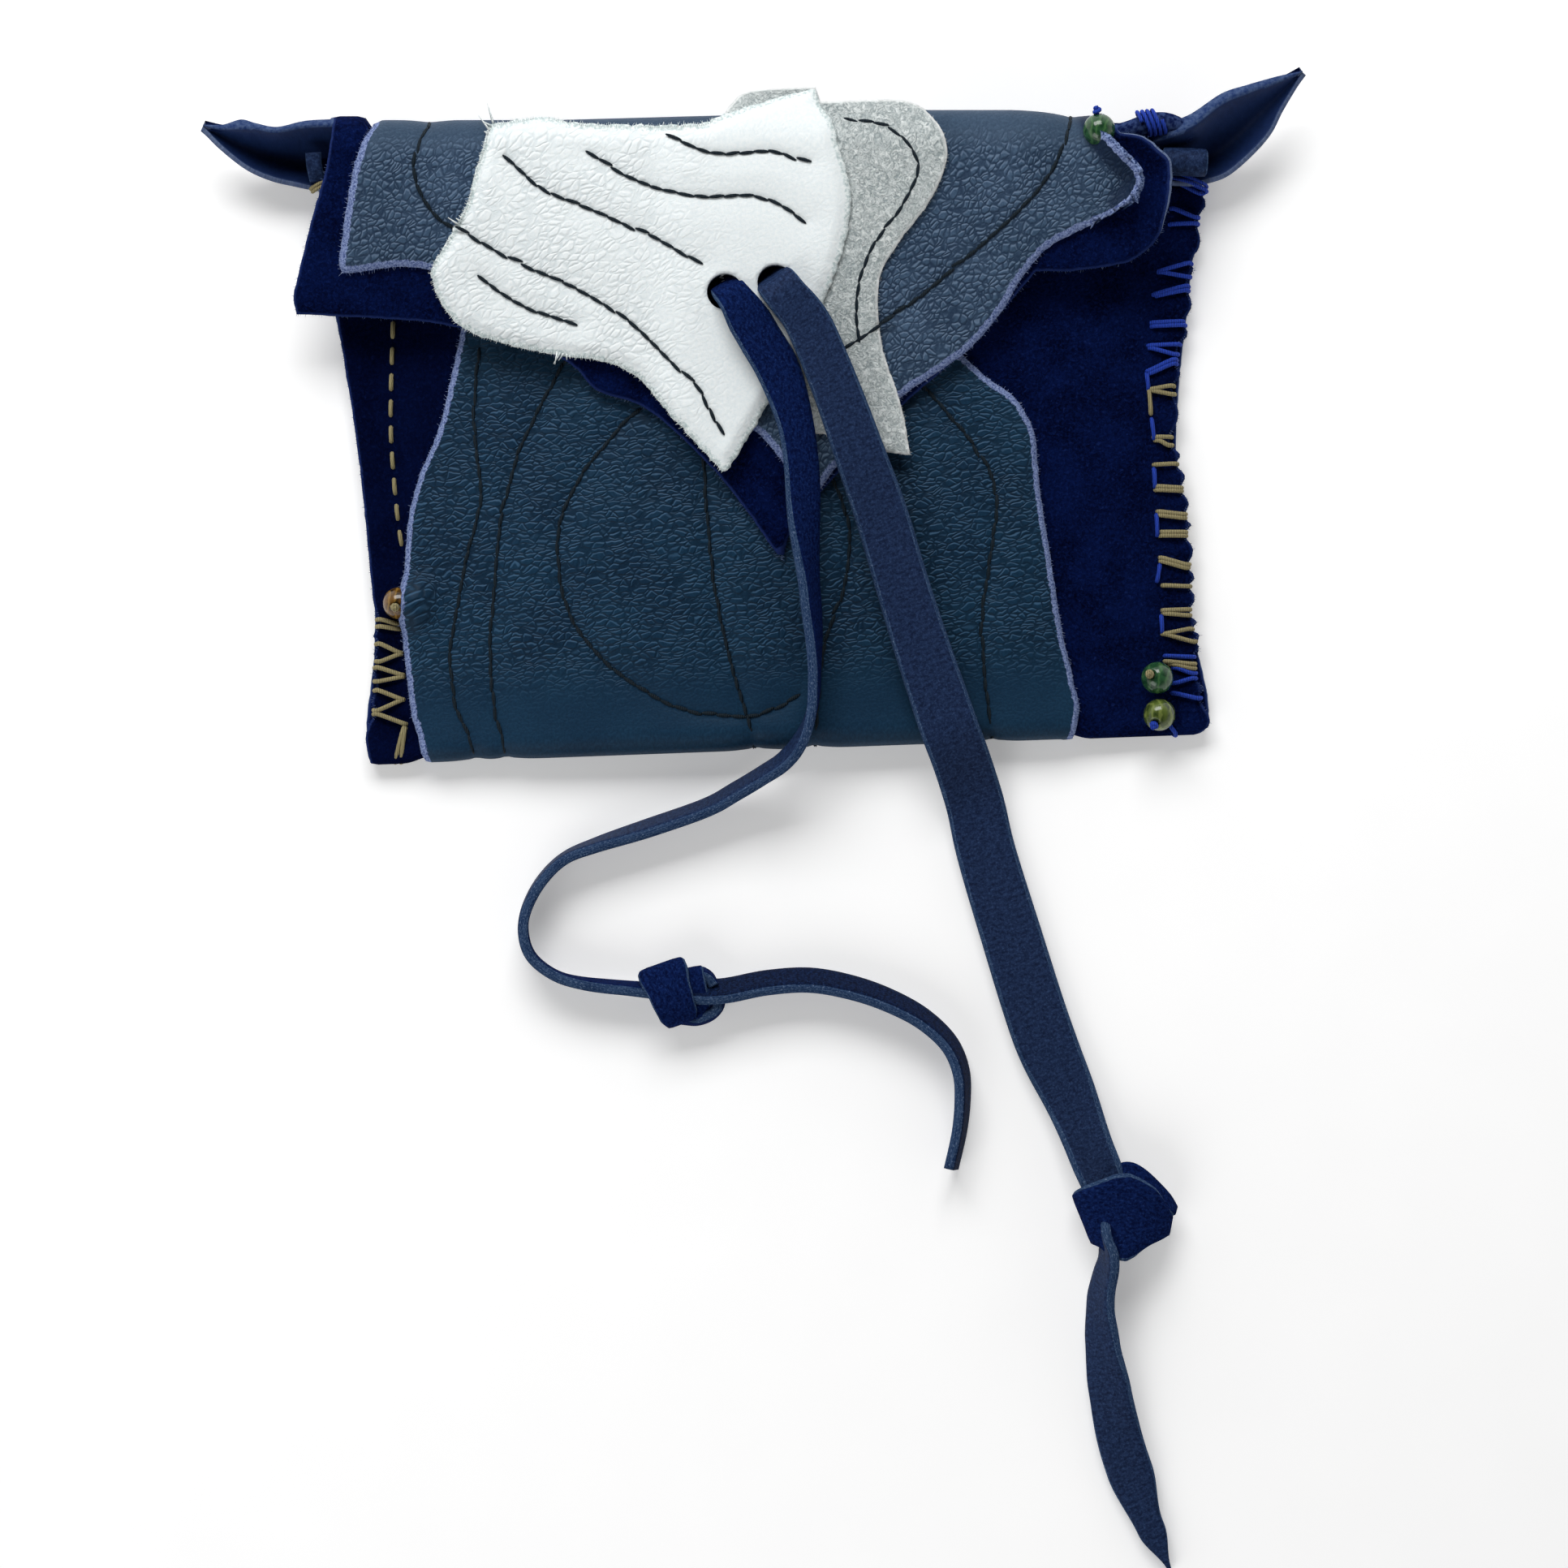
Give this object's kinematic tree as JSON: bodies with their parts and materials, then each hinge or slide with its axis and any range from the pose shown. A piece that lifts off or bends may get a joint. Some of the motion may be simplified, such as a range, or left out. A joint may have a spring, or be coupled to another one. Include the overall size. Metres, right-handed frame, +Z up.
{
  "type": "leather clutch",
  "caption": "Folded leather and suede clutch with a patched flap, whip-stitched side seams, sewn beads and a knotted lace that ties it shut.",
  "frame": {"origin": "on the table under the middle of the bag's box, lying on its back, without the lace ends", "axes": "+X to the bag's right as seen from the front, +Y towards the top fold, +Z up out of the front"},
  "size_m": [0.2665, 0.3671, 0.0327],
  "materials": {
    "navy_suede": "napped, matt",
    "teal_leather": "pebbled, semi-matt",
    "slate_leather": "pebbled, semi-matt",
    "grey_suede": "napped, matt",
    "white_leather": "fine grain, semi-matt",
    "lace_leather": "grain on one face, napped on the other",
    "blue_thread": "waxed twist",
    "tan_thread": "waxed twist",
    "brown_stone": "polished, opaque",
    "green_stone": "polished, opaque",
    "olive_stone": "polished, opaque"
  },
  "bodies": {
    "pouch": {"pouch_suede": "navy_suede", "pouch_leather": "teal_leather", "right_upper_blue_thread": "blue_thread", "right_tan_thread": "tan_thread", "right_lower_blue_thread": "blue_thread", "left_tan_thread": "tan_thread", "left_bead": "brown_stone", "left_bead_thread": "tan_thread", "green_bead": "green_stone", "green_bead_thread": "tan_thread", "olive_bead": "olive_stone", "olive_bead_thread": "blue_thread"},
    "flap": {"flap_suede": "navy_suede", "flap_leather": "slate_leather", "grey_patch": "grey_suede", "white_patch": "white_leather", "lace_bridge": "lace_leather", "left_lace": "lace_leather", "right_lace": "lace_leather", "left_knot": "lace_leather", "right_knot": "lace_leather", "fold_bead": "green_stone", "fold_bead_thread": "blue_thread"}
  },
  "joints": [
    {"name": "flap_fold", "type": "hinge", "parent": "pouch", "child": "flap", "pos_m": [0, 0.0737, 0.0115], "axis": [-1, 0, 0], "range_deg": [0, 150]}
  ]
}
